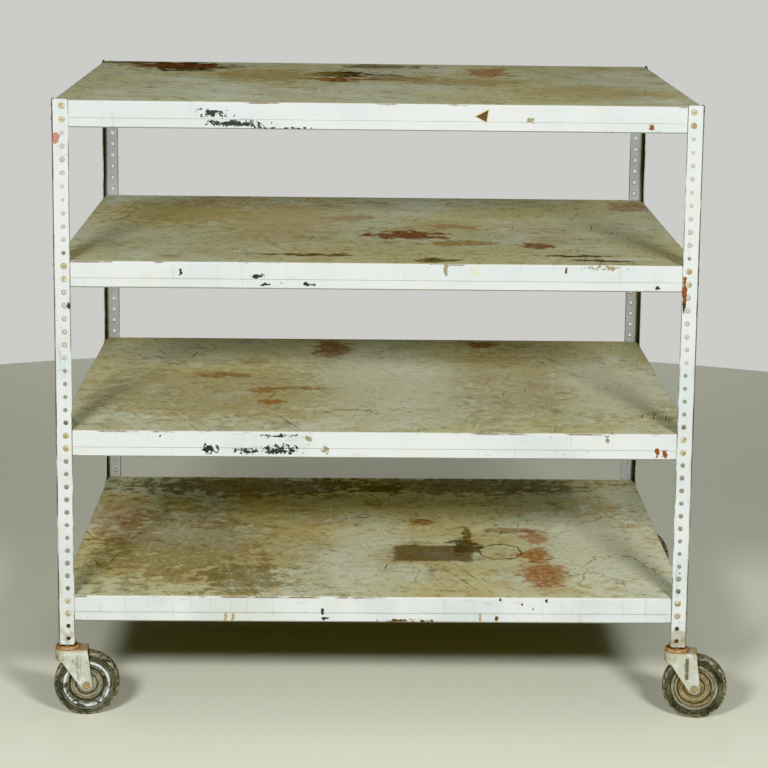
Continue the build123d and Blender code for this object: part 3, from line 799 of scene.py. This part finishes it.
def ringed(graph, radius, spacing, seed):
    """Noise that runs round a wheel in uneven rings."""
    place = graph.node("ShaderNodeCombineXYZ")
    graph.fill(place.inputs[0], graph.math("DIVIDE", radius, spacing))
    graph.fill(place.inputs[1], graph.math("MULTIPLY", graph.noise(0.04, 3, seed=seed), 7.0))
    made = graph.node("ShaderNodeTexNoise")
    graph.fill(made.inputs["Vector"], place.outputs[0])
    made.inputs["Scale"].default_value = 1.0
    made.inputs["Detail"].default_value = 4.0
    made.inputs["Roughness"].default_value = 0.65
    return made.outputs["Fac"]


def tyre_material(corner, joint, dust, smears):
    """Dark solid rubber, dusty in rings, scuffed on the tread, with paint smeared on its side."""
    graph = Graph(f"{corner}_tyre_rubber")
    coat = Coat(graph, RUBBER, 0.62)
    radius = wheel_radius_at(graph, joint)
    dusted = graph.rise(graph.noise(0.03, 6, 0.65, seed=3.0), 0.36, 0.66)
    coat.cover(graph.both(dusted, 0.75 * dust), RUBBER_DUST, 0.85)
    coat.cover(graph.rise(ringed(graph, radius, 2.6 * MM, 4.0), 0.50, 0.60), RUBBER_BLACK, 0.6, 0.4)
    fine_rings = graph.rise(ringed(graph, radius, 1.8 * MM, 9.0), 0.56, 0.64)
    coat.cover(graph.both(fine_rings, 0.65), RUBBER_DUST, 0.85)
    inner_side = graph.within(radius, *TYRE_INNER_SIDE, 2 * MM)
    dusty = graph.rise(ringed(graph, radius, 3.2 * MM, 6.0), 0.40, 0.56)
    coat.cover(graph.both(inner_side, dusty, 0.8 * (1 - smears)), HUB_DUST, 0.85)
    smear = graph.rise(graph.noise(0.012, 6, 0.7, seed=5.0), 0.40, 0.56)
    painted = graph.within(radius, *TYRE_PAINTED, 2 * MM)
    streaks = graph.rise(ringed(graph, radius, 2.2 * MM, 2.0), 0.42, 0.56)
    coat.cover(graph.both(painted, smear, streaks, 0.85 * smears), HUB_GREY, 0.7, 0.55)
    ridge = graph.within(radius, *TYRE_RIDGE, 0.8 * MM)
    coat.cover(graph.both(ridge, smear, smears), WHITE_PAINT, 0.6, 0.6)
    groove = graph.within(radius, *TYRE_GROOVE, 0.5 * MM)
    coat.cover(graph.both(groove, 0.7), RUBBER_BLACK, 0.6)
    tread = graph.rise(radius, *TREAD)
    scuffed = graph.rise(graph.noise(0.007, 6, 0.7, seed=7.0), 0.42, 0.58)
    coat.cover(graph.both(tread, scuffed, 0.65), CREAM, 0.9, 0.4)
    nicks = graph.rise(graph.noise(0.004, 4, 0.6, seed=8.0), 0.62, 0.68)
    coat.cover(graph.both(nicks, tread), RUBBER_BLACK, 0.8, 0.1)
    return coat.finish(graph.math("MULTIPLY", graph.noise(0.0016, 4), 0.45), 0.35 * MM, gloss=0.3)


def core_material(corner, joint, dust, dust_tint):
    """The moulded centre: pale dust over dark plastic, in rings, darker towards the rim, with painted
    shade in its hollows.
    """
    graph = Graph(f"{corner}_wheel_core_dust")
    coat = Coat(graph, HUB_DARK, 0.6)
    radius = wheel_radius_at(graph, joint)
    coat.cover(graph.both(graph.rise(radius, *CORE_DUST), dust), dust_tint, 0.85)
    tanned = graph.rise(graph.noise(0.014, 6, 0.65, seed=2.5), 0.44, 0.62)
    coat.cover(graph.both(tanned, 0.5 * dust), TAN, 0.85)
    dark_rings = graph.rise(ringed(graph, radius, 2.4 * MM, 3.0), 0.50, 0.58)
    coat.cover(graph.both(dark_rings, 0.85), HUB_DARK, 0.7, 0.4)
    pale_rings = graph.rise(ringed(graph, radius, 1.7 * MM, 8.0), 0.57, 0.64)
    coat.cover(graph.both(pale_rings, 0.7), CREAM, 0.8)
    for ring in CORE_GROOVES:
        line = graph.within(radius, ring - 0.7 * MM, ring + 0.7 * MM, 0.4 * MM)
        coat.cover(graph.both(line, 0.8), RUBBER_BLACK, 0.7)
    # Painted shade: dark brown in the core's hollows and where other parts come close.
    coat.cover(graph.crevices(4 * MM), DARK_BROWN, 0.9)
    return coat.finish(graph.math("MULTIPLY", graph.noise(0.0016, 4), 0.35), 0.25 * MM, gloss=0.3)


assign(post_material(), *[f"{corner}_post" for corner in CORNERS])
bolt_look = fastener_material("bolt_cream", CREAM, 0.5)
nut_look = fastener_material("nut_brown", TAN, 0.9)
channel_look = channel_material()
for number, shelf in enumerate(SHELVES):
    assign(shelf_material(shelf, number), f"{shelf}_pan", f"{shelf}_lip_bands")
    assign(channel_look, f"{shelf}_channel")
    assign(bolt_look, f"{shelf}_bolts")
    assign(nut_look, f"{shelf}_nuts")

race_look = rusty_material("race_rust", PEACH, RUST_ORANGE)
socket_look = rusty_material("socket_rust", RUST, BROWN_STEEL)
pin_look = rusty_material("pin_cream", CREAM, TAN, 0.004)
ball_look = polished_material()

# Each caster: stain on its nose, wear on its ribs, dust on its wheel, paint on its tyre, the dust's colour
CASTER_WEAR = {
    "front_left": (0.90, 0.15, 0.80, 1.00, HUB_GREY),
    "front_right": (0.50, 0.95, 0.85, 0.15, HUB_DUST),
    "rear_left": (0.60, 0.50, 0.70, 0.25, HUB_DUST),
    "rear_right": (0.60, 0.30, 0.70, 0.40, HUB_GREY),
}
for corner, (nose_rust, rib_wear, dust, smears, dust_tint) in CASTER_WEAR.items():
    roll = JOINTS[f"{corner}_wheel_roll"]
    assign(race_look, f"{corner}_top_race")
    assign(socket_look, f"{corner}_stem_socket")
    assign(pin_look, f"{corner}_king_pin")
    assign(ball_look, f"{corner}_bearing_balls")
    assign(fork_material(corner, nose_rust, rib_wear), f"{corner}_fork")
    assign(nut_look, f"{corner}_axle_bolt", f"{corner}_axle_nut")
    assign(tyre_material(corner, roll, dust, smears), f"{corner}_tyre")
    assign(core_material(corner, roll, dust, dust_tint), f"{corner}_wheel_core")


def make_floor():
    """A round pale floor, which ends behind the cart where the plain backdrop begins."""
    mesh = bpy.data.meshes.new("floor")
    shape = bmesh.new()
    bmesh.ops.create_circle(shape, cap_ends=True, segments=128, radius=FLOOR_RADIUS)
    shape.to_mesh(mesh)
    shape.free()
    floor = bpy.data.objects.new("floor", mesh)
    bpy.context.scene.collection.objects.link(floor)
    graph = Graph("floor_matt")
    coat = Coat(graph, FLOOR, 0.75)
    texture = graph.math("MULTIPLY", graph.noise(0.02, 4), 0.3)
    mesh.materials.append(coat.finish(texture, 0.2 * MM, gloss=0.2))


def area_light(name, place, size, watts, shine):
    """A soft lamp aimed at the middle of the cart. Without shine it leaves no highlight."""
    lamp = bpy.data.lights.new(name, "AREA")
    lamp.shape = "RECTANGLE"
    lamp.size, lamp.size_y = size
    lamp.energy = watts
    made = bpy.data.objects.new(name, lamp)
    made.location = place
    made.visible_camera = False
    made.visible_glossy = shine
    made.rotation_euler = (LAMP_AIM - made.location).to_track_quat("-Z", "Y").to_euler()
    bpy.context.scene.collection.objects.link(made)


def make_world():
    """A dim even fill light, and the brighter plain backdrop that the camera sees."""
    world = bpy.data.worlds.new("studio")
    world.use_nodes = True
    nodes = world.node_tree.nodes
    background = nodes["Background"]
    background.inputs["Color"].default_value = STUDIO_WHITE
    seen = nodes.new("ShaderNodeLightPath").outputs["Is Camera Ray"]
    strength = nodes.new("ShaderNodeMix")
    world.node_tree.links.new(seen, strength.inputs[0])
    strength.inputs[2].default_value = FILL_STRENGTH
    strength.inputs[3].default_value = BACKDROP_STRENGTH
    world.node_tree.links.new(strength.outputs[0], background.inputs["Strength"])
    bpy.context.scene.world = world


def make_camera():
    """A long lens a little above the top shelf, looking slightly down."""
    data = bpy.data.cameras.new("camera")
    data.lens = CAMERA_LENS
    data.sensor_width = 36.0
    data.shift_x, data.shift_y = CAMERA_SHIFT
    data.clip_end = 200
    camera = bpy.data.objects.new("camera", data)
    camera.location = CAMERA_PLACE
    camera.rotation_euler = [radians(angle) for angle in CAMERA_TURN]
    bpy.context.scene.collection.objects.link(camera)
    bpy.context.scene.camera = camera


make_floor()
make_world()
for lamp in LAMPS:
    area_light(*lamp)
make_camera()
bpy.context.scene.view_settings.view_transform = "Khronos PBR Neutral"
